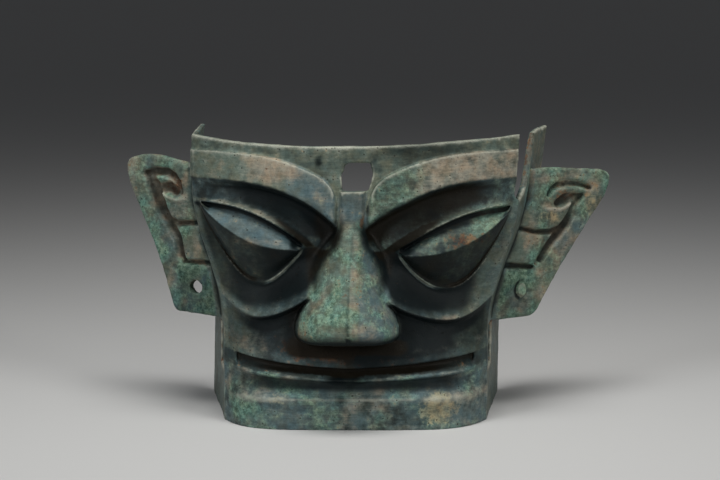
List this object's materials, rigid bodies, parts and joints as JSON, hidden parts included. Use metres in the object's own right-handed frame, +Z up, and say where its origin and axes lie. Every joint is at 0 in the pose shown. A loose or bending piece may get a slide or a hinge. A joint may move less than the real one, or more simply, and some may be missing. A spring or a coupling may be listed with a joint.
{
  "type": "cast bronze mask",
  "caption": "Thin-walled cast bronze ritual mask with upright ears, U-shaped in plan, open at the back, standing on its lower rim.",
  "frame": {"origin": "under the middle of the whole casting's bounding box, in the plane that its lower rim stands on", "axes": "+X across the face from one ear to the other, the longest extent; +Y from the face back to the open rear, the shortest extent; +Z up"},
  "size_m": [0.4082, 0.187, 0.2327],
  "materials": {
    "bronze": "matte"
  },
  "bodies": {
    "root": {"mask": "bronze"}
  },
  "joints": []
}
